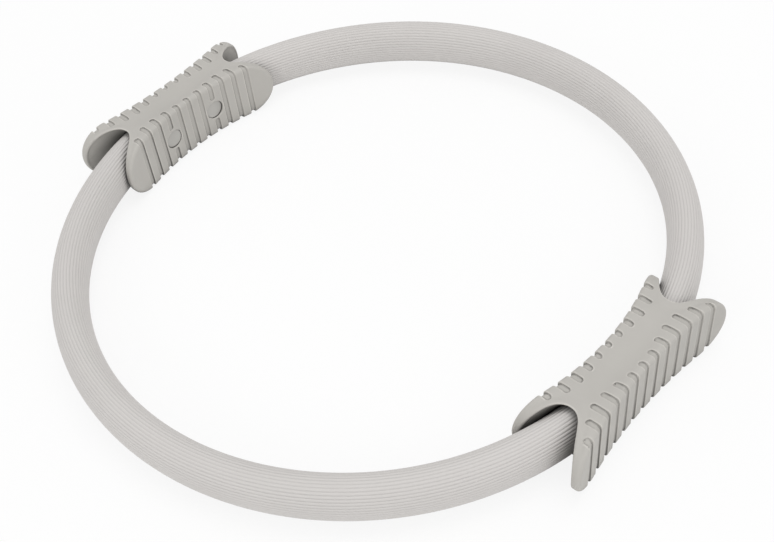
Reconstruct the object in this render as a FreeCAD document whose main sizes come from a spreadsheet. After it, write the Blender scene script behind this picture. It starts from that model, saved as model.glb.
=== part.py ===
import FreeCAD, Part
import math
import os
import Sketcher
from FreeCAD import Placement, Rotation, Vector

# Pilates ring: two sprung half hoops, joined end to end inside two waisted hand grips.
# The ring lies flat. X runs through both grips, Z is up, and Z = 0 is the lowest line of the grips.

doc = FreeCAD.newDocument("pilates_ring")

# Driving dimensions in millimetres
DIMENSIONS = (
    ("hoop_arc_radius", 172.8, "bend radius of each half hoop's centreline"),
    ("hoop_straight", 7.2, "straight run of the centreline each side of a grip's middle"),
    ("tube_width", 20.4, "oval tube, radial"),
    ("tube_height", 29.3, "oval tube, axial"),
    ("tube_wall", 2.4, "sleeve wall"),
    ("band_thickness", 2.4, "spring band inside the sleeve"),
    ("band_clearance", 0.35, "band edge to sleeve bore, and band to splice slot"),
    ("grip_height", 38.6, "pad face, top edge to bottom edge"),
    ("outer_pad_length", 134.0, "outer pad, tip to tip"),
    ("inner_pad_length", 124.5, "inner pad, tip to tip"),
    ("outer_wall", 2.3, "tube to outer face at the waist"),
    ("inner_wall", 3.8, "tube to inner face at the waist"),
    ("outer_face_radius", 310.0, "hollow curve of the outer face"),
    ("inner_face_radius", 169.0, "hollow curve of the inner face"),
    ("fold_radius", 2.5, "rounding round the edge of each pad face"),
    ("web_sink", 2.2, "depth of the saddle between the two pad edges, at the waist"),
    ("web_run", 40.0, "grip middle to where the saddle runs out level with the pad edges"),
    ("ridge_width", 3.6, "saddle edge to pad face at the waist"),
    ("groove_pitch", 8.93, "finger grooves, centre to centre"),
    ("groove_width", 3.5, "finger groove"),
    ("groove_depth", 0.9, "finger groove"),
    ("mouth_start", 41.5, "grip middle to the start of the flared mouth"),
    ("mouth_height", 104.0, "flared mouth at the pad tips, axial"),
    ("wing_wall", 4.5, "pad wall beside the mouth at the tips"),
    ("mouth_bow", 1.3, "mouth's sides in from straight, halfway along the flare"),
    ("tunnel_clearance", 0.35, "tube to grip tunnel"),
    ("shoulder_margin", 2.0, "screw boss to splice shoulder, along the hoop"),
    ("spigot_length", 12.0, "splice shoulder to spigot end"),
    ("spigot_clearance", 0.35, "spigot to sleeve bore"),
    ("shoulder_gap", 0.3, "sleeve end to splice shoulder"),
    ("band_seat", 4.0, "band end past the splice shoulder"),
    ("plug_diameter", 12.4, "screw plug"),
    ("plug_thickness", 1.6, "screw plug"),
    ("plug_sink", 1.0, "plug face below the pad face"),
    ("plug_clearance", 0.1, "plug to its recess"),
    ("plug_land", 1.2, "plug recess to the grooves above and below it"),
    ("boss_wall", 1.3, "grip wall round a plug recess"),
    ("boss_floor", 2.0, "grip wall under a screw head"),
    ("screw_diameter", 4.0, "screw thread"),
    ("screw_length", 13.0, "screw under its head"),
    ("head_diameter", 8.0, "screw head"),
    ("head_height", 2.3, "screw head"),
    ("head_gap", 0.3, "screw head to plug, and head to its pocket wall"),
    ("screw_clearance", 0.2, "screw to the grip's hole and to the splice's relief"),
    ("thread_clearance", 0.05, "screw to insert bore, and insert to its hole"),
    ("insert_diameter", 6.0, "threaded insert"),
    ("insert_length", 8.0, "threaded insert"),
)
# How far each finger groove runs in over the edge, from the middle groove outwards
OUTER_RUNS = (5.2, 5.8, 8.2, 10.2, 10.8, 8.5, 4.8)
INNER_RUNS = (5.0, 5.4, 6.9, 8.6, 9.0, 6.2)
# The screws stand on the second groove each side of the middle
PLUG_GROOVE = 2
# Cutters reach this far past what they cut
OVERRUN = 10.0

sheet = doc.addObject("Spreadsheet::Sheet", "dims")
rows = list(DIMENSIONS)
for side, runs in (("outer", OUTER_RUNS), ("inner", INNER_RUNS)):
    for step, run in enumerate(runs):
        rows.append((f"{side}_run_{step}", run, f"{side} groove {step} from the middle, over the edge"))
for line, (alias, value, note) in enumerate(rows, start=1):
    sheet.set(f"A{line}", alias)
    sheet.set(f"B{line}", str(value))
    sheet.set(f"C{line}", note)
    sheet.setAlias(f"B{line}", alias)
doc.recompute()


def size(formula):
    """Write a formula on the sheet's aliases as an expression for a property."""
    for alias, _, _ in sorted(rows, key=lambda row: -len(row[0])):
        formula = formula.replace(f"<{alias}>", f"dims.{alias}")
    return f"({formula})"


# Shared places and sizes, as expressions on the sheet
MIDDLE = size("<grip_height> / 2")
STRAIGHT = "dims.hoop_straight"
TUBE_A = size("<tube_width> / 2")
TUBE_B = size("<tube_height> / 2")
BORE_A = f"({TUBE_A} - dims.tube_wall)"
BORE_B = f"({TUBE_B} - dims.tube_wall)"
BAND_SHARE = f"(dims.band_thickness / 2 / {BORE_A})"
BAND_HEIGHT = f"(2 * {BORE_B} * sqrt(1 - {BAND_SHARE}^2) - 2 * dims.band_clearance)"
OUTER_X = f"(dims.hoop_arc_radius + {TUBE_A} + dims.outer_wall)"
INNER_X = f"(dims.hoop_arc_radius - {TUBE_A} - dims.inner_wall)"
WAIST_X = f"(({OUTER_X} + {INNER_X}) / 2)"
SADDLE_HALF = f"(({OUTER_X} - {INNER_X}) / 2 - dims.ridge_width)"
SADDLE_RADIUS = f"(({SADDLE_HALF}^2 + dims.web_sink^2) / (2 * dims.web_sink))"
SADDLE_SWEEP = size("(<web_run>^2 + <web_sink>^2) / (2 * <web_sink>)")
SCREW_Y = f"({PLUG_GROOVE} * dims.groove_pitch)"
PLUG_HOLE = size("<plug_diameter> / 2 + <plug_clearance>")
BOSS_RADIUS = f"({PLUG_HOLE} + dims.boss_wall)"
SHOULDER = f"({SCREW_Y} + {BOSS_RADIUS} + dims.shoulder_margin)"
SLEEVE_END = f"({SHOULDER} + dims.shoulder_gap)"
BAND_END = f"({SHOULDER} - dims.band_seat)"
SPIGOT_END = f"({SHOULDER} + dims.spigot_length)"


def outer_face(y):
    """X of the outer pad face at a distance y from the grip's middle."""
    return f"({OUTER_X} + dims.outer_face_radius - sqrt(dims.outer_face_radius^2 - {y}^2))"


def inner_face(y):
    """X of the inner pad face at a distance y from the grip's middle."""
    return f"({INNER_X} - dims.inner_face_radius + sqrt(dims.inner_face_radius^2 - {y}^2))"


# The stack under each plug, from the pad face inwards along X
PLUG_FRONT = f"({inner_face(SCREW_Y)} + dims.plug_sink)"
PLUG_BACK = f"({PLUG_FRONT} + dims.plug_thickness)"
HEAD_TOP = f"({PLUG_BACK} + dims.head_gap)"
HEAD_SEAT = f"({HEAD_TOP} + dims.head_height)"
BOSS_END = f"({HEAD_SEAT} + dims.boss_floor)"

ALONG_X = Rotation(Vector(0, 1, 0), 90)
UPRIGHT = Rotation(Vector(1, 0, 0), 90)
# Turns an ellipse so that its long axis stands up in the XZ plane
OVAL_TURN = Rotation(Vector(1, 1, 1), 240)
# Stands a sketch up in the YZ plane
SIDEWAYS = Rotation(Vector(1, 1, 1), 120)


def bind(thing, **expressions):
    for name, expression in expressions.items():
        thing.setExpression(name, expression)
    return thing


def place(thing, x="0", y="0", z="0", turn=Rotation()):
    thing.Placement = Placement(Vector(), turn)
    for axis, expression in zip("xyz", (x, y, z)):
        thing.setExpression(f"Placement.Base.{axis}", expression)
    return thing


def box(name, length, width, height, x, y, z):
    thing = bind(doc.addObject("Part::Box", name), Length=length, Width=width, Height=height)
    return place(thing, x, y, z)


def cylinder(name, radius, height, x, y, z, turn=Rotation()):
    thing = bind(doc.addObject("Part::Cylinder", name), Radius=radius, Height=height)
    return place(thing, x, y, z, turn)


def fuse(name, shapes):
    thing = doc.addObject("Part::MultiFuse", name)
    thing.Shapes = shapes
    thing.Refine = False
    return thing


def cut(name, base, tool):
    thing = doc.addObject("Part::Cut", name)
    thing.Base = base
    thing.Tool = tool
    thing.Refine = False
    return thing


def mirror(name, source, normal):
    """Copy a piece across the ring's middle plane that has this normal."""
    thing = doc.addObject("Part::Mirroring", name)
    thing.Source = source
    thing.Base = Vector(0, 0, 0)
    thing.Normal = normal
    return thing


def oval(name, half_width, half_height, x, y="0"):
    """Upright ellipse across the hoop."""
    thing = doc.addObject("Part::Ellipse", name)
    bind(thing, MajorRadius=half_height, MinorRadius=half_width)
    return place(thing, x, y, MIDDLE, OVAL_TURN)


def strip(name, thickness, height):
    """Upright rectangle across the hoop."""
    thing = bind(doc.addObject("Part::Plane", name), Length=thickness, Width=height)
    x = f"dims.hoop_arc_radius - {thickness} / 2"
    return place(thing, x, "0", f"{MIDDLE} - {height} / 2", UPRIGHT)


def extrude(name, outline, direction, length):
    thing = doc.addObject("Part::Extrusion", name)
    thing.Base = outline
    thing.DirMode = "Custom"
    thing.Dir = direction
    thing.Solid = True
    return bind(thing, LengthFwd=length)


def bend(name, profile, reach):
    """Carry a section round the front half hoop, from a reach past one grip's middle to the other."""
    thing = doc.addObject("Part::Revolution", name)
    thing.Source = profile
    thing.Axis = Vector(0, 0, 1)
    thing.Solid = True
    thing.Symmetric = True
    arc = f"({reach} - {STRAIGHT}) / dims.hoop_arc_radius * 180 / pi"
    bind(thing, Angle=f"180 - 2 * {arc}")
    return place(thing, y=f"-{STRAIGHT}", turn=Rotation(Vector(0, 0, 1), -90))


def grip_run(name, profile, reach):
    """Carry a section along the hoop inside the right grip, to a reach each side of its middle."""
    runs = [bind(extrude(f"{name}_middle", profile, Vector(0, 1, 0), STRAIGHT), LengthRev=STRAIGHT)]
    for end, sign in (("front", -1), ("rear", 1)):
        turn = doc.addObject("Part::Revolution", f"{name}_{end}")
        turn.Source = profile
        turn.Axis = Vector(0, 0, sign)
        turn.Solid = True
        bind(turn, Angle=f"({reach} - {STRAIGHT}) / dims.hoop_arc_radius * 180 / pi")
        runs.append(place(turn, y=f"{sign} * {STRAIGHT}"))
    return fuse(name, runs)


def make_sleeve():
    """Front half of the oval tube, open at both ends."""
    outside = oval("sleeve_outside", TUBE_A, TUBE_B, "dims.hoop_arc_radius")
    bore = oval("sleeve_bore", BORE_A, BORE_B, "dims.hoop_arc_radius")
    body = bend("sleeve_body", outside, SLEEVE_END)
    return cut("front_sleeve", body, bend("sleeve_hollow", bore, SLEEVE_END))


def make_band():
    """Front spring band, a flat strip bent on edge, which stands in the sleeve's bore."""
    return bend("front_spring_band", strip("band_section", "dims.band_thickness", BAND_HEIGHT), BAND_END)


def make_splice():
    """Block that joins two hoop ends: shoulders between the sleeves, spigots in their bores."""
    shoulder = oval("shoulder_section", TUBE_A, TUBE_B, "dims.hoop_arc_radius")
    spigot_a = f"{BORE_A} - dims.spigot_clearance"
    spigot_b = f"{BORE_B} - dims.spigot_clearance"
    spigot = oval("spigot_section", spigot_a, spigot_b, "dims.hoop_arc_radius")
    block = fuse("splice_block", [
        grip_run("splice_shoulder", shoulder, SHOULDER),
        grip_run("splice_spigots", spigot, SPIGOT_END),
    ])
    slot_width = size("<band_thickness> + 2 * <band_clearance>")
    slot_height = f"({BAND_HEIGHT} + 2 * dims.band_clearance)"
    section = strip("band_slot_section", slot_width, slot_height)
    past_end = f"({SPIGOT_END} + {OVERRUN})"
    stop = f"({BAND_END} - dims.band_clearance)"
    slots = grip_run("band_slot_run", section, past_end)
    tools = [cut("band_slots", slots, grip_run("band_stop_run", section, stop))]
    flat_x = f"({INNER_X} - {OVERRUN})"
    flat_y = f"({SCREW_Y} + {BOSS_RADIUS} + dims.shoulder_margin / 2)"
    tools.append(box("splice_flat", f"{BOSS_END} - {flat_x}", f"2 * {flat_y}", f"2 * {MIDDLE}",
                     flat_x, f"-{flat_y}", "0"))
    for end, sign in (("front", -1), ("rear", 1)):
        y = f"{sign} * {SCREW_Y}"
        tools.append(cylinder(f"insert_hole_{end}", size("<insert_diameter> / 2 + <thread_clearance>"),
                              "dims.insert_length", BOSS_END, y, MIDDLE, ALONG_X))
        tools.append(cylinder(f"screw_relief_{end}", size("<screw_diameter> / 2 + <screw_clearance>"),
                              "dims.screw_length", BOSS_END, y, MIDDLE, ALONG_X))
    return cut("right_splice", block, fuse("splice_cuts", tools))


def make_screw():
    """Pan head screw at the right grip's front end."""
    y = f"-{SCREW_Y}"
    head = cylinder("screw_head", size("<head_diameter> / 2"), "dims.head_height",
                    HEAD_TOP, y, MIDDLE, ALONG_X)
    shank = cylinder("screw_shank", size("<screw_diameter> / 2"), "dims.screw_length",
                     HEAD_SEAT, y, MIDDLE, ALONG_X)
    return fuse("right_front_screw", [head, shank])


def make_insert():
    """Threaded insert that the screw pulls up in the splice."""
    y = f"-{SCREW_Y}"
    body = cylinder("insert_body", size("<insert_diameter> / 2"), "dims.insert_length",
                    BOSS_END, y, MIDDLE, ALONG_X)
    bore = cylinder("insert_bore", size("<screw_diameter> / 2 + <thread_clearance>"), "dims.insert_length",
                    BOSS_END, y, MIDDLE, ALONG_X)
    return cut("right_front_insert", body, bore)


def make_plug():
    """Round plug over the screw head, a little below the pad face."""
    y = f"-{SCREW_Y}"
    return cylinder("right_front_plug", size("<plug_diameter> / 2"), "dims.plug_thickness",
                    PLUG_FRONT, y, MIDDLE, ALONG_X)


def constrain(outline, rule, *places, name="", formula=""):
    """Add a constraint to a sketch, and drive it by a formula if it has one."""
    index = outline.addConstraint(Sketcher.Constraint(rule, *places))
    if formula:
        outline.renameConstraint(index, name)
        outline.setExpression(f"Constraints.{name}", formula)


def arc(outline, x, radius, start, end):
    """Draw an arc on a sketch's own X axis, angles in right angles."""
    circle = Part.Circle(Vector(x, 0, 0), Vector(0, 0, 1), radius)
    return outline.addGeometry(Part.ArcOfCircle(circle, start * math.pi / 2, end * math.pi / 2))


def segment(outline, x1, y1, x2, y2):
    return outline.addGeometry(Part.LineSegment(Vector(x1, y1, 0), Vector(x2, y2, 0)))


def pad_prism(name, length, start, end, inset):
    """Bar along X with the outline of a pad: level edges joined by half rounds of the full height."""
    outline = place(doc.addObject("Sketcher::SketchObject", f"{name}_outline"), start, "0", MIDDLE, SIDEWAYS)
    r = sheet.grip_height / 2
    c = sheet.inner_pad_length / 2 - r
    top = segment(outline, -c, r, c, r)
    bottom = segment(outline, -c, -r, c, -r)
    rear = arc(outline, c, r, -1, 1)
    front = arc(outline, -c, r, 1, 3)
    meetings = ((rear, 1, bottom, 2), (rear, 2, top, 2), (front, 1, top, 1), (front, 2, bottom, 1))
    for first, first_end, second, second_end in meetings:
        constrain(outline, "Tangent", first, first_end, second, second_end)
    constrain(outline, "Horizontal", top)
    constrain(outline, "Equal", rear, front)
    constrain(outline, "Symmetric", front, 3, rear, 3, -1, 1)
    constrain(outline, "Radius", rear, r, name="tip_radius", formula=f"{MIDDLE} - {inset}")
    constrain(outline, "DistanceX", front, 3, rear, 3, 2 * c, name="tip_span",
              formula=f"{length} - 2 * {MIDDLE}")
    return extrude(name, outline, Vector(1, 0, 0), f"{end} - {start}")


def waist_prism(name, inset):
    """Upright bar with the plan of the grip: two hollow faces, each moved in by inset."""
    outline = doc.addObject("Sketcher::SketchObject", f"{name}_outline")
    half = sheet.outer_pad_length / 2
    turn = 0.3
    outer_r = half / math.sin(turn * math.pi / 2)
    outer = arc(outline, 2 * outer_r, outer_r, 2 - turn, 2 + turn)
    inner = arc(outline, 0, outer_r / 2, -turn, turn)
    front = segment(outline, outer_r, -half, outer_r / 2, -half)
    rear = segment(outline, outer_r / 2, half, outer_r, half)
    corners = ((outer, 2, front, 1), (front, 2, inner, 1), (inner, 2, rear, 1), (rear, 2, outer, 1))
    for first, first_end, second, second_end in corners:
        constrain(outline, "Coincident", first, first_end, second, second_end)
    for line, sign in ((front, -1), (rear, 1)):
        constrain(outline, "Horizontal", line)
        constrain(outline, "DistanceY", -1, 1, line, 1, sign * half, name=f"end_{line}",
                  formula=f"{sign} * (dims.outer_pad_length / 2 + {OVERRUN})")
    constrain(outline, "PointOnObject", outer, 3, -1)
    constrain(outline, "PointOnObject", inner, 3, -1)
    constrain(outline, "Radius", outer, outer_r, name="outer_radius",
              formula=f"dims.outer_face_radius + {inset}")
    constrain(outline, "Radius", inner, outer_r / 2, name="inner_radius",
              formula=f"dims.inner_face_radius + {inset}")
    constrain(outline, "DistanceX", -1, 1, outer, 3, 2 * outer_r, name="outer_centre",
              formula=f"{OUTER_X} + dims.outer_face_radius")
    constrain(outline, "DistanceX", -1, 1, inner, 3, 0.0, name="inner_centre",
              formula=f"{INNER_X} - dims.inner_face_radius")
    return extrude(name, outline, Vector(0, 0, 1), f"2 * {MIDDLE}")


def pad_edges(shape):
    """Names of the edges round the two hollow pad faces, the only faces curved about an upright axis."""
    round_faces = [face for face in shape.Faces if isinstance(face.Surface, Part.Cylinder)]
    pads = [face for face in round_faces if abs(face.Surface.Axis.z) > 0.9]
    rims = [edge for face in pads for edge in face.Edges]
    return [f"Edge{number}" for number, edge in enumerate(shape.Edges, start=1)
            if any(edge.isSame(rim) for rim in rims)]


def grip_block(name, inset):
    """Both pads and the web between them, folds rounded, with the pad faces moved in by inset."""
    outer_end = f"({OUTER_X} + 2 * {OVERRUN})"
    inner_end = f"({INNER_X} - 2 * {OVERRUN})"
    pads = fuse(f"{name}_pads", [
        pad_prism(f"{name}_outer_pad", "dims.outer_pad_length", WAIST_X, outer_end, inset),
        pad_prism(f"{name}_inner_pad", "dims.inner_pad_length", inner_end, WAIST_X, inset),
    ])
    waisted = doc.addObject("Part::Common", f"{name}_waisted")
    waisted.Base = pads
    waisted.Tool = waist_prism(f"{name}_waist", inset)
    waisted.Refine = False
    doc.recompute()
    body = doc.addObject("PartDesign::Body", f"{name}_body")
    body.BaseFeature = waisted
    doc.recompute()
    folds = body.newObject("PartDesign::Fillet", f"{name}_folds")
    folds.Base = (body.Group[0], pad_edges(body.Group[0].Shape))
    bind(folds, Radius="dims.fold_radius")
    saddles = []
    for face, z in (("top", f"2 * {MIDDLE} - dims.web_sink - {inset} + {SADDLE_SWEEP}"),
                    ("bottom", f"dims.web_sink + {inset} - {SADDLE_SWEEP}")):
        saddle = doc.addObject("Part::Torus", f"{name}_{face}_saddle")
        bind(saddle, Radius1=f"{SADDLE_SWEEP} - {SADDLE_RADIUS}", Radius2=SADDLE_RADIUS)
        saddles.append(place(saddle, WAIST_X, "0", z, ALONG_X))
    return cut(name, body, fuse(f"{name}_saddles", saddles))


def slot(name, face, way, run, y, low, high):
    """Tall slot into a pad face with a round inner end, from one height to another."""
    radius = size("<groove_width> / 2")
    centre = f"({face(y)} - {way} * ({run} - {radius}))"
    reach = f"(2 * {OVERRUN})"
    start = centre if way > 0 else f"({centre} - {reach})"
    turn = Rotation(Vector(0, 0, 1), 90 - 90 * way)
    return [
        box(f"{name}_slot", reach, "dims.groove_width", f"{high} - {low}", start, f"{y} - {radius}", low),
        cylinder(f"{name}_end", radius, f"{high} - {low}", centre, y, low, turn),
    ]


def plug_slots(name, y, run):
    """Inner groove that stops with round ends above and below a plug."""
    radius = size("<groove_width> / 2")
    stop = f"({PLUG_HOLE} + dims.plug_land + {radius})"
    start = f"({INNER_X} - {OVERRUN})"
    parts = slot(f"{name}_upper", inner_face, -1, run, y, f"({MIDDLE} + {stop})", f"(2 * {MIDDLE})")
    parts += slot(f"{name}_lower", inner_face, -1, run, y, "0", f"({MIDDLE} - {stop})")
    for end, sign in (("upper", 1), ("lower", -1)):
        parts.append(cylinder(f"{name}_{end}_stop", radius, f"{inner_face(y)} + {run} - {start}", start, y,
                              f"{MIDDLE} + {sign} * {stop}", ALONG_X))
    return parts


def groove_cuts():
    """Finger grooves over the full height of both pads."""
    cuts = []
    sides = (("outer", OUTER_RUNS, outer_face, 1), ("inner", INNER_RUNS, inner_face, -1))
    for side, runs, face, way in sides:
        for step in range(1 - len(runs), len(runs)):
            name = f"{side}_groove_{step + len(runs)}"
            y = f"({step} * dims.groove_pitch)"
            run = f"dims.{side}_run_{abs(step)}"
            if side == "inner" and abs(step) == PLUG_GROOVE:
                cuts += plug_slots(name, y, run)
            else:
                cuts += slot(name, face, way, run, y, "0", f"(2 * {MIDDLE})")
    return fuse("groove_cuts", cuts)


def boss(end, sign):
    """Solid round a screw, from outside the inner pad face to the splice."""
    start = f"({INNER_X} - {OVERRUN})"
    return cylinder(f"boss_{end}", BOSS_RADIUS, f"{BOSS_END} - {start}", start, f"{sign} * {SCREW_Y}",
                    MIDDLE, ALONG_X)


def screw_bore(end, sign):
    """Stepped hole for plug, screw head and screw."""
    y = f"{sign} * {SCREW_Y}"
    start = f"({INNER_X} - {OVERRUN})"
    steps = (
        ("recess", PLUG_HOLE, PLUG_BACK),
        ("pocket", size("<head_diameter> / 2 + <head_gap>"), HEAD_SEAT),
        ("hole", size("<screw_diameter> / 2 + <screw_clearance>"), BOSS_END),
    )
    return fuse(f"screw_bore_{end}", [
        cylinder(f"screw_{step}_{end}", radius, f"{depth} - {start}", start, y, MIDDLE, ALONG_X)
        for step, radius, depth in steps
    ])


def mouth(end, sign):
    """Flared opening at one end of the tunnel, from the tube's oval to the pad tips, with bowed sides."""
    arc_y = f"(dims.mouth_start - {STRAIGHT})"
    start_x = f"sqrt(dims.hoop_arc_radius^2 - {arc_y}^2)"
    tip = size("<outer_pad_length> / 2")
    low = f"({inner_face(tip)} + dims.wing_wall)"
    high = f"({outer_face(tip)} - dims.wing_wall)"
    first = (f"({TUBE_A} + dims.tunnel_clearance)", f"({TUBE_B} + dims.tunnel_clearance)", start_x,
             "dims.mouth_start")
    last = (f"(({high} - {low}) / 2)", size("<mouth_height> / 2"), f"(({high} + {low}) / 2)", tip)
    wide, tall, x, y = (f"(({a} + {b}) / 2)" for a, b in zip(first, last))
    halfway = (f"({wide} - dims.mouth_bow)", tall, x, y)
    thing = doc.addObject("Part::Loft", f"mouth_{end}")
    thing.Sections = [
        oval(f"mouth_{step}_{end}", wide, tall, x, f"{sign} * {y}")
        for step, (wide, tall, x, y) in (("start", first), ("halfway", halfway), ("tip", last))
    ]
    thing.Solid = True
    thing.Ruled = False
    return thing


def make_grip():
    """Right grip: one moulding with two grooved pads, a web above and below the tube, and flared mouths."""
    ends = (("front", -1), ("rear", 1))
    bosses = fuse("bosses", [boss(end, sign) for end, sign in ends])
    lands = cut("grip_lands", grip_block("land_block", "0"), groove_cuts())
    solid = fuse("grip_solid", [lands, grip_block("floor_block", "dims.groove_depth")])
    section = oval("tunnel_section", f"{TUBE_A} + dims.tunnel_clearance", f"{TUBE_B} + dims.tunnel_clearance",
                   "dims.hoop_arc_radius")
    tunnel = grip_run("tunnel", section, f"(dims.outer_pad_length / 2 + {OVERRUN})")
    passage = fuse("passage", [tunnel] + [mouth(end, sign) for end, sign in ends])
    shell = cut("grip_shell", solid, cut("passage_round_bosses", passage, bosses))
    return cut("right_grip", shell, fuse("screw_bores", [screw_bore(end, sign) for end, sign in ends]))


ACROSS = Vector(1, 0, 0)
ALONG = Vector(0, 1, 0)
pieces = []
for half in (make_sleeve(), make_band()):
    pieces += [half, mirror(half.Name.replace("front", "rear"), half, ALONG)]
for right in (make_grip(), make_splice()):
    pieces += [right, mirror(right.Name.replace("right", "left"), right, ACROSS)]
for front in (make_screw(), make_insert(), make_plug()):
    rear = mirror(front.Name.replace("front", "rear"), front, ALONG)
    pieces += [front, rear]
    pieces += [mirror(right.Name.replace("right", "left"), right, ACROSS) for right in (front, rear)]

doc.recompute()
for thing in doc.Objects:
    if "Invalid" in thing.State or "Error" in thing.State:
        raise RuntimeError(f"{thing.Name} did not build: {thing.State}")
os.makedirs("parts", exist_ok=True)
for piece in pieces:
    piece.Label = piece.Name
    if piece.Shape.isNull() or not piece.Shape.isValid() or len(piece.Shape.Solids) != 1:
        raise RuntimeError(f"{piece.Name} is not one sound solid")
for piece in pieces:
    piece.Shape.exportStep(f"parts/{piece.Label}.step")
    print(f"{piece.Label}: {piece.Shape.Volume / 1000:.2f} cm3")
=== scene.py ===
import math

import bpy
import numpy as np
from mathutils import Matrix, Vector


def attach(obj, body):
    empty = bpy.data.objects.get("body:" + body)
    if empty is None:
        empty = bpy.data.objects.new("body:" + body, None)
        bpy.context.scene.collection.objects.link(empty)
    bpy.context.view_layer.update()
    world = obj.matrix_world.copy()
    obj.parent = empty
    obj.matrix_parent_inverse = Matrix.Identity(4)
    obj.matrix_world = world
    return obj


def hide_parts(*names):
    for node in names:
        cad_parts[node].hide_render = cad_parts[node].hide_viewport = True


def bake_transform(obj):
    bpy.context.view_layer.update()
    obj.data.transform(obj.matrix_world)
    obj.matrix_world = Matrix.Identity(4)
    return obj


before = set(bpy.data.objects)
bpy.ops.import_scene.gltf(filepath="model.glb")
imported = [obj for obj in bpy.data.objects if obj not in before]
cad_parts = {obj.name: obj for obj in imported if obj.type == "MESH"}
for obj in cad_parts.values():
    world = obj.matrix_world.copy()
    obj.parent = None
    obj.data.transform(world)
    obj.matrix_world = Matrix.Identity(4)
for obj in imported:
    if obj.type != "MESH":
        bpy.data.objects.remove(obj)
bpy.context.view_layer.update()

# Sizes in millimetres, in the part's frame, with heights from the ring's middle plane
MM = 0.001
MIDDLE = 19.3

# Hoop, its oval tube and the spring band in it; a pair is half the width and half the height
HOOP_RADIUS = 172.8
STRAIGHT = 7.2
TUBE_HALF = (10.2, 14.65)
TUBE_WALL = 2.4
SLEEVE_END = 27.76
BAND_END = 23.46
BAND_HALF = (1.2, 11.75)
BAND_EASE = 0.5
RIBS = 42
RIB_DEPTH = 0.4
RIB_ROUNDNESS = 0.55

# Outer and inner pad of the right grip: face at the middle, radius of the face, and tip along Y
OUTER_X, INNER_X = 185.3, 158.8
OUTER_RADIUS, INNER_RADIUS = 310.0, 169.0
OUTER_TIP, INNER_TIP = 67.0, 62.25

# Farthest that a grip's wings reach along X, and the rounding of the pads' edges
GRIP_REACH = 192.0
PAD_EDGE = 2.5

# Saddle sunk into the web between the pads
WAIST_X = (OUTER_X + INNER_X) / 2
SADDLE_SINK, SADDLE_HALF, SADDLE_RUN = 2.2, 9.65, 40.0
SADDLE_RADIUS = (SADDLE_HALF ** 2 + SADDLE_SINK ** 2) / (2 * SADDLE_SINK)
SADDLE_SWEEP = (SADDLE_RUN ** 2 + SADDLE_SINK ** 2) / (2 * SADDLE_SINK)
SADDLE_EDGE = 0.8

# Finger grooves, and how far each runs over the top edge, from the middle one outwards
PITCH, GROOVE_HALF, GROOVE_DEPTH = 8.93, 1.75, 0.9
OUTER_RUNS = np.array((5.2, 5.8, 8.2, 10.2, 10.8, 8.5, 4.8))
INNER_RUNS = np.array((5.0, 5.4, 6.9, 8.6, 9.0, 6.2))
HOOK_EXTRA, HOOK_Z = 0.15, (15, 18)
GROOVE_EDGE, GROOVE_FLOOR_EDGE = 0.22, 0.25

# Tunnel round the tube, its flared mouths, and the rolled lip and faint hollow round each mouth
TUNNEL_HALF, MOUTH_HALF = (10.55, 15.0), (19.34, 52.0)
MOUTH_START, MOUTH_END = 40.0, 67.0
MOUTH_END_X = 168.79
MOUTH_BOW = 1.3
TUNNEL_EDGE = 0.5
LIP_RADIUS, LIP_STAND, LIP_LEAD = 1.0, 0.3, 4
HOLLOW_DEPTH, HOLLOW_OFF, HOLLOW_SPREAD = 0.5, 3.2, 1.2
HOLLOW_Y, HOLLOW_Z = (34, 40), (13, 16.5)

# Plugs, and the bosses and stepped holes behind them (radius, depth from the pad's face)
PLUG_GROOVE = 2
PLUG_Y = PLUG_GROOVE * PITCH
PLUG_RADIUS, PLUG_THICKNESS, PLUG_SINK = 6.2, 1.6, 1.0
PLUG_EASE, PLUG_DISH, PLUG_FLAT = 0.45, 0.12, 5.6
RECESS_RADIUS, PLUG_LAND = 6.3, 1.2
BORE_STEPS = ((RECESS_RADIUS, 2.6), (4.3, 5.2), (2.2, 12.0))
BORE_EDGE = 0.3
BOSS_RADIUS, BOSS_DEPTH = 7.6, 7.2

# Grid on which a grip is meshed: coarse and fine steps, and how near to an edge it is fine
GRID_BEFORE, GRID_AFTER, GRID_MARGIN = 15.88, 9, 1
GRID_X_STEP, GRID_Y_STEPS, GRID_Z_STEPS = 0.55, (0.85, 0.22), (1.1, 0.42)
PLUG_LEVELS = (6.4, 9.4)
GROOVE_NEAR, LEVEL_NEAR = 0.42, 1.3
CELL_CORNERS = [(i, j, k) for i in (0, 1) for j in (0, 1) for k in (0, 1)]

# Layers of painted shade, darker where the surface is closed in: reach in metres, darkest share, and
# the openness where each starts and ends
SLEEVE_PAINTED_SHADE = ((0.0012, 0.64, 0.4, 0.95), (0.02, 0.3, 0.1, 0.6))
GRIP_PAINTED_SHADE = ((0.0011, 0.05, 0.5, 0.92), (0.03, 0.3, 0.12, 0.65))
OPENNESS_SAMPLES = 16

# Painted highlights on outer edges: reach in metres, share of the paler colour, and the openness
# where they start and end
GRIP_EDGE_HIGHLIGHT = (0.001, 1.0, 0.6, 0.97)
EDGE_HIGHLIGHT_PALER = 1.35

# Uneven colour and gloss, and the fine grain of moulded pieces
CLOUD_DETAIL, GLOSS_DETAIL, GRAIN_DETAIL = 4, 3, 2
GLOSS_SPREAD, GLOSS_FINER = 0.06, 6
GRAIN_STRENGTH = 0.6
SPECULAR = 0.4

# Floor: reach in metres, its finish, and the share of its white that shadows leave as it is
FLOOR_REACH = 15.0
FLOOR_DARK, FLOOR_LIGHT = (0.93, 0.93, 0.93, 1), (0.95, 0.95, 0.95, 1)
FLOOR_CLOUD, FLOOR_DETAIL = 3, 2
FLOOR_ROUGH, FLOOR_SPECULAR = 0.9, 0.1
FLOOR_WHITE = 0.86
WHITE = (1, 1, 1, 1)

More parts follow.
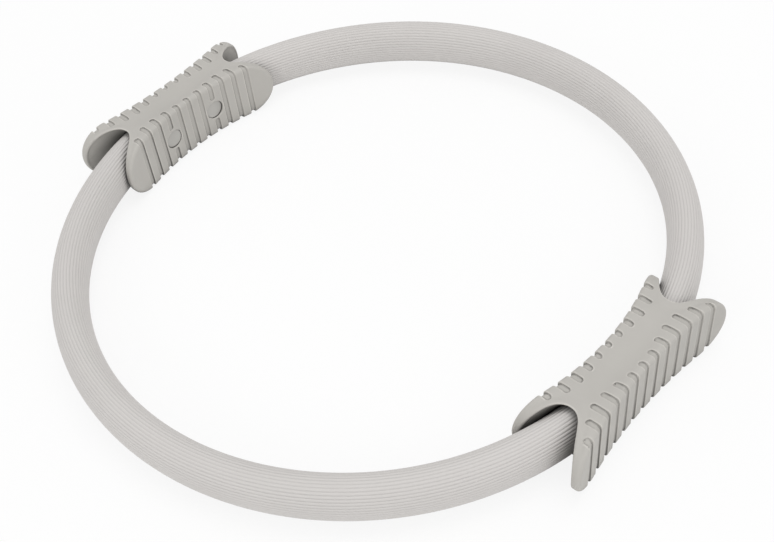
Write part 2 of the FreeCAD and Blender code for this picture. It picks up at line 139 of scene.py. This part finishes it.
# Camera, fitted to the photograph: place in metres, directions to its right and behind it, and lens
CAMERA_PLACE = (0.35521, -0.32449, 0.51404)
CAMERA_RIGHT = (0.7435, 0.6634, -0.08432)
CAMERA_BACK = (0.49177, -0.45694, 0.74119)
SENSOR_WIDTH, FOCAL_LENGTH = 36.0, 54.955

LEFT, RIGHT = "left_grip_assembly", "right_grip_assembly"


# Mesh helpers
def make_object(name, points, faces, material):
    """Make a mesh object from points in millimetres about the ring's middle plane."""
    mesh = bpy.data.meshes.new(name)
    places = (np.asarray(points) + (0, 0, MIDDLE)) * MM
    mesh.from_pydata(places.tolist(), [], [list(map(int, f)) for f in faces])
    mesh.validate()
    mesh.polygons.foreach_set("use_smooth", [True] * len(mesh.polygons))
    mesh.materials.append(material)
    piece = bpy.data.objects.new(name, mesh)
    bpy.context.scene.collection.objects.link(piece)
    return piece


def rings_to_faces(rings, around, closed):
    """Quads between rows of points; closed joins the last row to the first."""
    grid = np.arange(rings * around).reshape(rings, around)
    if closed:
        grid = np.vstack([grid, grid[:1]])
    after = np.roll(grid, -1, axis=1)
    return np.stack([grid[:-1], after[:-1], after[1:], grid[1:]], axis=-1).reshape(-1, 4)


def capped_faces(rings, around):
    """Quads between rows of points, with one face over the first row and one over the last."""
    faces = rings_to_faces(rings, around, False).tolist()
    first, last = range(around), range((rings - 1) * around, rings * around)
    return faces + [list(first)[::-1], list(last)]


# Sleeves and spring bands
def even_oval(half_width, half_height, count):
    """Points and outward directions at even distances round an oval, from its top."""
    samples = 4001
    turn = np.linspace(0, 2 * math.pi, samples)
    x, z = half_width * np.sin(turn), half_height * np.cos(turn)
    run = np.concatenate([[0], np.cumsum(np.hypot(np.diff(x), np.diff(z)))])
    turn = np.interp(np.arange(count) / count * run[-1], run, turn)
    points = np.stack([half_width * np.sin(turn), half_height * np.cos(turn)], axis=1)
    normals = np.stack([np.sin(turn) / half_width, np.cos(turn) / half_height], axis=1)
    return points, normals / np.linalg.norm(normals, axis=1)[:, None]


def hoop_angles(end, count):
    """Angles along the front half hoop, from the left grip to the right one."""
    short = (end - STRAIGHT) / HOOP_RADIUS
    return np.linspace(-math.pi + short, -short, count)


def sweep(section, angles, side):
    """Carry a section (radial, up) along a half hoop; side is -1 in front and 1 at the rear."""
    radial = HOOP_RADIUS + section[:, 0]
    x = np.cos(angles)[:, None] * radial
    y = (np.sin(angles)[:, None] * radial - STRAIGHT) * -side
    z = np.broadcast_to(section[:, 1], x.shape)
    return np.stack([x, y, z], axis=-1).reshape(-1, 3)


def ribbed_section(per_rib):
    """Outside of the sleeve: round ribs with narrow grooves between them."""
    count = RIBS * per_rib
    points, normals = even_oval(*TUBE_HALF, count)
    phase = (np.arange(count) % per_rib) / per_rib
    sink = RIB_DEPTH * (1 - np.abs(np.sin(math.pi * phase)) ** RIB_ROUNDNESS)
    return points - normals * sink[:, None]


def make_sleeve(name, side, material):
    """Ribbed tube of a half hoop, open at both ends, with a plain bore."""
    per_rib, outer_rings, inner_rings = 6, 170, 60
    section = ribbed_section(per_rib)
    around = len(section)
    bore = even_oval(TUBE_HALF[0] - TUBE_WALL, TUBE_HALF[1] - TUBE_WALL, around)[0]
    outside = sweep(section, hoop_angles(SLEEVE_END, outer_rings), side)
    inside = sweep(bore, hoop_angles(SLEEVE_END, inner_rings)[::-1], side)
    faces = rings_to_faces(outer_rings + inner_rings, around, True)
    if side > 0:
        faces = faces[:, ::-1]
    return make_object(name, np.vstack([outside, inside]), faces, material)


def make_band(name, side, material):
    """Flat strip on edge, with its long edges eased."""
    rings, corner_points = 96, 4
    corner = np.linspace(0, math.pi / 2, corner_points)
    turned = np.stack([np.cos(corner), np.sin(corner)], axis=1)
    quarter = np.array(BAND_HALF) - BAND_EASE + BAND_EASE * turned
    back = quarter[::-1]
    section = np.vstack([quarter, back * (-1, 1), quarter * (-1, -1), back * (1, -1)])
    points = sweep(section, hoop_angles(BAND_END, rings), side)
    faces = capped_faces(rings, len(section))
    if side < 0:
        faces = [face[::-1] for face in faces]
    return make_object(name, points, faces, material)


# Grip moulding, as a field that is negative inside
def round_max(a, b, radius):
    """Intersection of two fields with a rounded edge."""
    past = np.hypot(np.maximum(a + radius, 0), np.maximum(b + radius, 0))
    return np.minimum(np.maximum(a, b), -radius) + past


def smooth_step(value, low, high):
    """Rise from 0 at low to 1 at high, level at both ends."""
    t = np.clip((value - low) / (high - low), 0, 1)
    return t * t * (3 - 2 * t)


def outer_face(y):
    """Distance of the outer pad's face from the ring's middle."""
    return OUTER_X + OUTER_RADIUS - np.sqrt(OUTER_RADIUS ** 2 - y * y)


def inner_face(y):
    """Distance of the inner pad's face from the ring's middle."""
    return INNER_X - INNER_RADIUS + np.sqrt(INNER_RADIUS ** 2 - y * y)


def block_field(x, y, z, inset):
    """Both pads and the web between them, without grooves, with every face moved in by inset."""
    outer = OUTER_RADIUS - np.hypot(x - OUTER_X - OUTER_RADIUS, y)
    inner = INNER_RADIUS - np.hypot(x - INNER_X + INNER_RADIUS, y)
    tip = INNER_TIP + (OUTER_TIP - INNER_TIP) * smooth_step(x, INNER_X, OUTER_X)
    outline = np.hypot(np.maximum(y - tip + MIDDLE, 0), z) - MIDDLE
    block = round_max(np.maximum(outer, inner) + inset, outline + inset, PAD_EDGE)
    height = np.hypot(y, z - MIDDLE + SADDLE_SINK - SADDLE_SWEEP) - SADDLE_SWEEP + SADDLE_RADIUS
    saddle = SADDLE_RADIUS - np.hypot(x - WAIST_X, height)
    return round_max(block, saddle + inset, SADDLE_EDGE)


def groove_field(x, y, z):
    """Slots of both pads, endless in height, but for the two that stop at the plugs."""
    step = np.clip(np.round(y / PITCH), 0, len(OUTER_RUNS) - 1).astype(int)
    off = y - step * PITCH
    end = outer_face(step * PITCH) - OUTER_RUNS[step] + GROOVE_HALF
    outer = np.hypot(np.minimum(x - end, 0), off) - GROOVE_HALF
    step = np.clip(np.round(y / PITCH), 0, len(INNER_RUNS) - 1).astype(int)
    off = y - step * PITCH
    end = inner_face(step * PITCH) + INNER_RUNS[step] - GROOVE_HALF
    inner = np.hypot(np.minimum(end - x, 0), off) - GROOVE_HALF
    stop = RECESS_RADIUS + PLUG_LAND + GROOVE_HALF
    stopped = np.maximum(inner, np.hypot(np.maximum(stop - z, 0), off) - GROOVE_HALF)
    return np.minimum(outer, np.where(step == PLUG_GROOVE, stopped, inner))


def oval_field(side, z, wide, tall, stretch):
    """Near distance to an oval that widens along the hoop by stretch (wide, tall)."""
    least_near, least_slope = 0.05, 0.01
    near = np.maximum(np.hypot(side / wide, z / tall), least_near)
    lengthwise = side ** 2 / wide ** 3 * stretch[0] + z ** 2 / tall ** 3 * stretch[1]
    slope = np.sqrt((side / wide ** 2) ** 2 + (z / tall ** 2) ** 2 + lengthwise ** 2) / near
    return (near - 1) / np.maximum(slope, least_slope)


def passage_field(x, y, z):
    """Tunnel round the tube, and the flared mouth at its end."""
    bend = np.maximum(y - STRAIGHT, 0)
    tunnel = oval_field(np.hypot(x, bend) - HOOP_RADIUS, z, *TUNNEL_HALF, (0, 0))
    length = MOUTH_END - MOUTH_START
    flare = np.maximum(y - MOUTH_START, 0) / length
    start_x = math.sqrt(HOOP_RADIUS ** 2 - (MOUTH_START - STRAIGHT) ** 2)
    middle = start_x + (MOUTH_END_X - start_x) * flare
    wider, taller = MOUTH_HALF[0] - TUNNEL_HALF[0], MOUTH_HALF[1] - TUNNEL_HALF[1]
    wide = TUNNEL_HALF[0] + wider * flare - 4 * MOUTH_BOW * flare * (1 - flare)
    tall = TUNNEL_HALF[1] + taller * flare
    stretch = ((wider - 4 * MOUTH_BOW * (1 - 2 * flare)) / length, taller / length)
    mouth = oval_field(x - middle, z, wide, tall, stretch)
    return np.minimum(tunnel, np.maximum(mouth, MOUTH_START - y))


def bore_field(x, y, z):
    """Stepped hole for plug, screw head and screw."""
    face = float(inner_face(PLUG_Y))
    reach = np.hypot(y - PLUG_Y, z)
    steps = [np.maximum(reach - radius, x - (face + depth)) for radius, depth in BORE_STEPS]
    return np.minimum.reduce(steps)


def grip_field(x, y, z):
    """Whole moulding of the right grip; it is alike in front and behind, above and below."""
    y, z = np.abs(y), np.abs(z)
    passage = passage_field(x, y, z)
    block = block_field(x, y, z, 0)
    ring = np.exp(-((passage - HOLLOW_OFF) / HOLLOW_SPREAD) ** 2)
    hollow = HOLLOW_DEPTH * smooth_step(y, *HOLLOW_Y) * smooth_step(z, *HOLLOW_Z) * ring
    depth = GROOVE_DEPTH + HOOK_EXTRA * smooth_step(z, *HOOK_Z)
    below = block_field(x, y, z, depth) + hollow
    cut = round_max(groove_field(x, y, z), -below, GROOVE_FLOOR_EDGE)
    block = block + hollow
    solid = round_max(block, -cut, GROOVE_EDGE)
    boss = np.maximum(np.hypot(y - PLUG_Y, z) - BOSS_RADIUS, x - inner_face(PLUG_Y) - BOSS_DEPTH)
    rolled = TUNNEL_EDGE + (LIP_RADIUS - TUNNEL_EDGE) * smooth_step(y, *HOLLOW_Y)
    solid = round_max(solid, -np.maximum(passage, -boss), rolled)
    lip = np.hypot(passage - LIP_RADIUS + LIP_STAND, block + LIP_RADIUS) - LIP_RADIUS
    solid = np.where(y > MOUTH_START - LIP_LEAD, np.minimum(solid, lip), solid)
    solid = np.maximum(solid, x - GRIP_REACH)
    return round_max(solid, -bore_field(x, y, z), BORE_EDGE)


def crossed_cells(inside):
    """Grid cells with corners on both sides of the surface."""
    shape = np.array(inside.shape) - 1
    count = np.zeros(shape, np.uint8)
    for corner in CELL_CORNERS:
        count += inside[tuple(slice(o, o + n) for o, n in zip(corner, shape))]
    return np.argwhere((count > 0) & (count < len(CELL_CORNERS)))


def cell_points(value, cells, axes):
    """One point per cell, the mean of the places where the surface crosses the cell's edges."""
    total, hits = np.zeros((len(cells), 3)), np.zeros(len(cells))
    for first in CELL_CORNERS:
        for axis in range(3):
            if first[axis]:
                continue
            second = tuple(o + (d == axis) for d, o in enumerate(first))
            a = value[tuple((cells + first).T)]
            b = value[tuple((cells + second).T)]
            crossed = (a < 0) != (b < 0)
            share = np.where(crossed, a / np.where(a == b, 1, a - b), 0)
            place = cells + np.array(first) + share[:, None] * np.eye(3)[axis]
            total += np.where(crossed[:, None], place, 0)
            hits += crossed
    total /= hits[:, None]
    places = [np.interp(t, np.arange(len(a)), a) for t, a in zip(total.T, axes)]
    return np.stack(places, axis=1)


def cell_faces(inside, number, axis):
    """Quads round the grid edges along one axis that the surface crosses; number counts the cells."""
    others = [d for d in range(3) if d != axis]
    span = [slice(1, -1)] * 3
    span[axis] = slice(0, -1)
    ahead = list(span)
    ahead[axis] = slice(1, None)
    change = inside[tuple(span)].astype(np.int8) - inside[tuple(ahead)]
    edges = np.argwhere(change != 0)
    sign = change[tuple(edges.T)]
    edges[:, others] += 1
    quad = []
    for p, q in ((0, 0), (1, 0), (1, 1), (0, 1)):
        cell = edges.copy()
        cell[:, others[0]] -= p
        cell[:, others[1]] -= q
        quad.append(number[tuple(cell.T)])
    quad = np.stack(quad, axis=1)
    flip = (sign > 0) == (axis == 1)
    quad[flip] = quad[flip, ::-1]
    return quad


def surface_net(field, axes):
    """Points and quads on a field's surface, one point per grid cell that it crosses."""
    value = field(*np.meshgrid(*axes, indexing="ij", sparse=True)).astype(np.float32)
    inside = value < 0
    cells = crossed_cells(inside)
    number = np.full(np.array(inside.shape) - 1, -1)
    number[tuple(cells.T)] = np.arange(len(cells))
    faces = [cell_faces(inside, number, axis) for axis in range(3)]
    return cell_points(value, cells, axes), np.vstack(faces)


def settle(field, points, rounds, limit):
    """Move points along the field's slope onto its surface."""
    start, tiny, least_slope, pace = points.copy(), 0.02, 0.2, 0.9
    for _ in range(rounds):
        value = field(*points.T)
        rises = [field(*(points + tiny * d).T) - field(*(points - tiny * d).T) for d in np.eye(3)]
        slope = np.stack([rise / (2 * tiny) for rise in rises], axis=1)
        move = value / np.maximum((slope ** 2).sum(1), least_slope)
        points = points - slope * move[:, None] * pace
        points = start + np.clip(points - start, -limit, limit)
    return points


def graded(low, high, coarse, fine, edges, reach):
    """Grid along one axis: coarse steps, and fine ones within reach of each edge."""
    samples = 20001
    place = np.linspace(low, high, samples)
    near = np.abs(place[:, None] - np.asarray(edges)).min(1) < reach
    run = np.concatenate([[0], np.cumsum(np.diff(place) / np.where(near[1:], fine, coarse))])
    return np.interp(np.linspace(0, run[-1], int(run[-1]) + 1), run, place)


def make_grips(material):
    """Right grip as a mesh of the field, and the left one as its mirror image."""
    last = len(OUTER_RUNS) - 1
    steps = range(-last, last + 1)
    sides = [step * PITCH + side * GROOVE_HALF for step in steps for side in (-1, 1)]
    levels = [side * level for side in (-1, 1) for level in (*PLUG_LEVELS, MIDDLE)]
    long, tall = OUTER_TIP + GRID_MARGIN, MIDDLE + GRID_MARGIN
    axes = (
        np.arange(INNER_X - GRID_BEFORE, OUTER_X + GRID_AFTER, GRID_X_STEP),
        graded(-long, long, *GRID_Y_STEPS, sides, GROOVE_NEAR),
        graded(-tall, tall, *GRID_Z_STEPS, levels, LEVEL_NEAR),
    )
    points, faces = surface_net(grip_field, axes)
    points = settle(grip_field, points, rounds=5, limit=0.4)
    right = make_object("right_grip_moulding", points, faces, material)
    left = make_object("left_grip_moulding", points * (-1, 1, 1), faces[:, ::-1], material)
    return right, left


def make_plug(name, x_side, y_side, material):
    """Round plug with an eased rim and a very shallow dish."""
    around, rim_points = 72, 6
    radii = (0.6, 2.2, 3.6, 4.8, PLUG_FLAT)
    front = float(inner_face(PLUG_Y)) + PLUG_SINK
    profile = [(r, PLUG_DISH * (1 - (r / PLUG_FLAT) ** 2)) for r in radii]
    for turn in np.linspace(0, math.pi / 2, rim_points)[1:]:
        rim = PLUG_RADIUS - PLUG_EASE + PLUG_EASE * math.sin(turn)
        profile.append((rim, PLUG_EASE - PLUG_EASE * math.cos(turn)))
    profile.append((PLUG_RADIUS, PLUG_THICKNESS))
    turns = np.arange(around) * 2 * math.pi / around
    points = [(front + depth, PLUG_Y + r * math.cos(t), r * math.sin(t))
              for r, depth in profile for t in turns]
    faces = capped_faces(len(profile), around)
    if x_side * y_side < 0:
        faces = [face[::-1] for face in faces]
    return make_object(name, np.array(points) * (x_side, y_side, 1), faces, material)


# Materials
def node_material(name):
    """New material, with its nodes, links and surface shader."""
    material = bpy.data.materials.new(name)
    material.use_nodes = True
    nodes, links = material.node_tree.nodes, material.node_tree.links
    return material, nodes, links, nodes["Principled BSDF"]


def noise(nodes, links, scale, detail, source):
    """Cloudy value between 0 and 1."""
    texture = nodes.new("ShaderNodeTexNoise")
    texture.inputs["Scale"].default_value = scale
    texture.inputs["Detail"].default_value = detail
    links.new(source, texture.inputs["Vector"])
    return texture.outputs["Fac"]


def ramp(nodes, links, source, low, high, start=0.35, end=0.65):
    """Spread a value between two values or two colours, from start to end."""
    mixer = nodes.new("ShaderNodeValToRGB")
    first, last = mixer.color_ramp.elements
    first.position, last.position = start, end
    first.color = low if isinstance(low, tuple) else (low, low, low, 1)
    last.color = high if isinstance(high, tuple) else (high, high, high, 1)
    links.new(source, mixer.inputs["Fac"])
    return mixer.outputs["Color"]


def shade(colour, factor):
    """Colour made lighter or darker, as red, green, blue and alpha."""
    return tuple(min(1.0, c * factor) for c in colour) + (1.0,)


def paint_shade_in_crevices(nodes, links, colour, reach, darkest, start, end):
    """Paint shade into a colour where the surface is closed in within reach."""
    closed = nodes.new("ShaderNodeAmbientOcclusion")
    closed.samples = OPENNESS_SAMPLES
    closed.inputs["Distance"].default_value = reach
    dark = ramp(nodes, links, closed.outputs["AO"], darkest, 1.0, start, end)
    mixer = nodes.new("ShaderNodeMix")
    mixer.data_type = "RGBA"
    mixer.blend_type = "MULTIPLY"
    mixer.inputs["Factor"].default_value = 1.0
    links.new(colour, mixer.inputs["A"])
    links.new(dark, mixer.inputs["B"])
    return mixer.outputs["Result"]


def paint_edge_highlights(nodes, links, colour, pale, reach, share, start, end):
    """Paint highlights into a colour on outer edges, out to reach from them."""
    edge = nodes.new("ShaderNodeAmbientOcclusion")
    edge.samples = OPENNESS_SAMPLES
    edge.inside = True
    edge.inputs["Distance"].default_value = reach
    mixer = nodes.new("ShaderNodeMix")
    mixer.data_type = "RGBA"
    mixer.inputs["B"].default_value = pale
    amount = ramp(nodes, links, edge.outputs["AO"], share, 0.0, start, end)
    links.new(amount, mixer.inputs["Factor"])
    links.new(colour, mixer.inputs["A"])
    return mixer.outputs["Result"]


def moulded(name, colour, rough, spread, cloud, grain, grain_depth, painted_shade=(), edge_highlight=None):
    """Moulded surface: cloudy colour, uneven gloss and a fine grain, with painted shade and painted
    edge highlights when given; cloud and grain are scales.
    """
    material, nodes, links, surface = node_material(name)
    place = nodes.new("ShaderNodeTexCoord").outputs["Object"]
    clouds = noise(nodes, links, cloud, CLOUD_DETAIL, place)
    tone = ramp(nodes, links, clouds, shade(colour, 1 - spread), shade(colour, 1 + spread))
    # Painted highlights on outer edges
    if edge_highlight:
        tone = paint_edge_highlights(nodes, links, tone, shade(colour, EDGE_HIGHLIGHT_PALER), *edge_highlight)
    # Painted shade where the surface is closed in
    for layer in painted_shade:
        tone = paint_shade_in_crevices(nodes, links, tone, *layer)
    links.new(tone, surface.inputs["Base Color"])
    gloss = noise(nodes, links, cloud * GLOSS_FINER, GLOSS_DETAIL, place)
    uneven = ramp(nodes, links, gloss, rough - GLOSS_SPREAD, rough + GLOSS_SPREAD)
    links.new(uneven, surface.inputs["Roughness"])
    bump = nodes.new("ShaderNodeBump")
    bump.inputs["Strength"].default_value = GRAIN_STRENGTH
    bump.inputs["Distance"].default_value = grain_depth
    links.new(noise(nodes, links, grain, GRAIN_DETAIL, place), bump.inputs["Height"])
    links.new(bump.outputs["Normal"], surface.inputs["Normal"])
    surface.inputs["Specular IOR Level"].default_value = SPECULAR
    return material


def metal(name, colour, rough):
    """Plain metal with fine specks of uneven tone and gloss."""
    specks, darker, lighter, spread = 900, 0.9, 1.05, 0.08
    material, nodes, links, surface = node_material(name)
    place = nodes.new("ShaderNodeTexCoord").outputs["Object"]
    cloud = noise(nodes, links, specks, GLOSS_DETAIL, place)
    tone = ramp(nodes, links, cloud, shade(colour, darker), shade(colour, lighter))
    links.new(tone, surface.inputs["Base Color"])
    gloss = ramp(nodes, links, cloud, rough - spread, rough + spread)
    links.new(gloss, surface.inputs["Roughness"])
    surface.inputs["Metallic"].default_value = 1.0
    return material


# The sleeve and grip colours carry painted shade, and the grip's also carries painted highlights on
# its edges
sleeve_look = moulded("sleeve_ribbed", (0.64, 0.617, 0.598), rough=0.5, spread=0.015,
                      cloud=18, grain=1600, grain_depth=0.00006, painted_shade=SLEEVE_PAINTED_SHADE)
grip_look = moulded("grip_moulding", (0.50, 0.483, 0.452), rough=0.58, spread=0.02,
                    cloud=25, grain=2200, grain_depth=0.00008, painted_shade=GRIP_PAINTED_SHADE, edge_highlight=GRIP_EDGE_HIGHLIGHT)
plug_look = moulded("plug_moulding", (0.49, 0.478, 0.452), rough=0.55, spread=0.02,
                    cloud=60, grain=2600, grain_depth=0.00006)
band_look = moulded("glass_fibre", (0.62, 0.63, 0.50), rough=0.4, spread=0.06,
                    cloud=90, grain=3000, grain_depth=0.00005)
splice_look = moulded("nylon", (0.055, 0.055, 0.056), rough=0.5, spread=0.08,
                      cloud=60, grain=2500, grain_depth=0.00005)
screw_look = metal("zinc_steel", (0.62, 0.62, 0.63), rough=0.3)
insert_look = metal("brass", (0.78, 0.57, 0.26), rough=0.35)

# Pieces
for end, side in (("front", -1), ("rear", 1)):
    sleeve = make_sleeve(f"{end}_ribbed_sleeve", side, sleeve_look)
    band = make_band(f"{end}_band", side, band_look)
    pair = ((sleeve, f"{end}_sleeve", "sleeve"), (band, f"{end}_spring_band", "spring_band"))
    for piece, node, slot in pair:
        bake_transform(piece)
        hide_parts(node)

for piece, body, node in zip(make_grips(grip_look), (RIGHT, LEFT), ("right_grip", "left_grip")):
    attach(piece, body)
    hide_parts(node)

for hand, x_side, body in (("right", 1, RIGHT), ("left", -1, LEFT)):
    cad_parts[f"{hand}_splice"].data.materials[0] = splice_look
    for end, y_side in (("front", -1), ("rear", 1)):
        plug = make_plug(f"{hand}_{end}_cap", x_side, y_side, plug_look)
        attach(plug, body)
        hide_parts(f"{hand}_{end}_plug")
        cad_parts[f"{hand}_{end}_screw"].data.materials[0] = screw_look
        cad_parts[f"{hand}_{end}_insert"].data.materials[0] = insert_look


# Floor, light and camera
def floor_material():
    """White that is seen as nearly pure white and keeps a soft shadow."""
    material, nodes, links, surface = node_material("floor_white")
    place = nodes.new("ShaderNodeTexCoord").outputs["Object"]
    cloud = noise(nodes, links, FLOOR_CLOUD, FLOOR_DETAIL, place)
    tint = ramp(nodes, links, cloud, FLOOR_DARK, FLOOR_LIGHT)
    links.new(tint, surface.inputs["Base Color"])
    surface.inputs["Roughness"].default_value = FLOOR_ROUGH
    surface.inputs["Specular IOR Level"].default_value = FLOOR_SPECULAR
    light_path = nodes.new("ShaderNodeLightPath")
    seen = light_path.outputs["Is Camera Ray"]
    for other in ("Is Glossy Ray", "Is Transmission Ray"):
        either = nodes.new("ShaderNodeMath")
        either.operation = "MAXIMUM"
        links.new(seen, either.inputs[0])
        links.new(light_path.outputs[other], either.inputs[1])
        seen = either.outputs[0]
    share = nodes.new("ShaderNodeMath")
    share.operation = "MULTIPLY"
    share.inputs[1].default_value = FLOOR_WHITE
    links.new(seen, share.inputs[0])
    glow = nodes.new("ShaderNodeEmission")
    mix = nodes.new("ShaderNodeMixShader")
    links.new(share.outputs[0], mix.inputs["Fac"])
    links.new(surface.outputs["BSDF"], mix.inputs[1])
    links.new(glow.outputs["Emission"], mix.inputs[2])
    links.new(mix.outputs["Shader"], nodes["Material Output"].inputs["Surface"])
    return material


def make_floor():
    """Flat floor that the ring lies on."""
    mesh = bpy.data.meshes.new("floor")
    turns = ((-1, -1), (1, -1), (1, 1), (-1, 1))
    corners = [(x * FLOOR_REACH, y * FLOOR_REACH, 0) for x, y in turns]
    mesh.from_pydata(corners, [], [(0, 1, 2, 3)])
    mesh.materials.append(floor_material())
    floor = bpy.data.objects.new("floor", mesh)
    bpy.context.scene.collection.objects.link(floor)


def make_world(strength):
    """Plain white sky of this strength, which the camera sees as full white."""
    world = bpy.data.worlds.new("studio")
    world.use_nodes = True
    nodes, links = world.node_tree.nodes, world.node_tree.links
    plain = nodes["Background"]
    plain.inputs["Color"].default_value = WHITE
    plain.inputs["Strength"].default_value = strength
    white = nodes.new("ShaderNodeBackground")
    white.inputs["Color"].default_value = WHITE
    light_path = nodes.new("ShaderNodeLightPath")
    mix = nodes.new("ShaderNodeMixShader")
    links.new(light_path.outputs["Is Camera Ray"], mix.inputs["Fac"])
    links.new(plain.outputs["Background"], mix.inputs[1])
    links.new(white.outputs["Background"], mix.inputs[2])
    links.new(mix.outputs["Shader"], nodes["World Output"].inputs["Surface"])
    bpy.context.scene.world = world


def make_lamp(name, place, aim, size, power):
    """Round soft lamp, with its place, aim and width in metres and its power in watts."""
    lamp = bpy.data.lights.new(name, "AREA")
    lamp.shape = "DISK"
    lamp.size = size
    lamp.energy = power
    holder = bpy.data.objects.new(name, lamp)
    holder.location = place
    holder.rotation_euler = (Vector(aim) - Vector(place)).to_track_quat("-Z", "Y").to_euler()
    bpy.context.scene.collection.objects.link(holder)


def make_camera():
    """Camera of the photograph; its directions are squared up first."""
    right = Vector(CAMERA_RIGHT).normalized()
    back = Vector(CAMERA_BACK)
    back = (back - right * back.dot(right)).normalized()
    up = back.cross(right)
    lens = bpy.data.cameras.new("photo_camera")
    lens.sensor_fit = "HORIZONTAL"
    lens.sensor_width = SENSOR_WIDTH
    lens.lens = FOCAL_LENGTH
    camera = bpy.data.objects.new("photo_camera", lens)
    place = Matrix((right, up, back)).transposed().to_4x4()
    place.translation = CAMERA_PLACE
    camera.matrix_world = place
    bpy.context.scene.collection.objects.link(camera)
    bpy.context.scene.camera = camera


make_floor()
make_world(strength=0.72)
make_lamp("top_light", place=(0.15, 0.35, 1.9), aim=(0, 0, 0), size=1.2, power=7.5)
make_lamp("right_light", place=(1.7, 0.1, 1.0), aim=(0, 0, 0.02), size=0.8, power=2.4)
make_lamp("front_light", place=(0.2, -1.7, 1.0), aim=(0, 0, 0.02), size=0.8, power=4.8)
make_camera()
bpy.context.scene.view_settings.view_transform = "Standard"
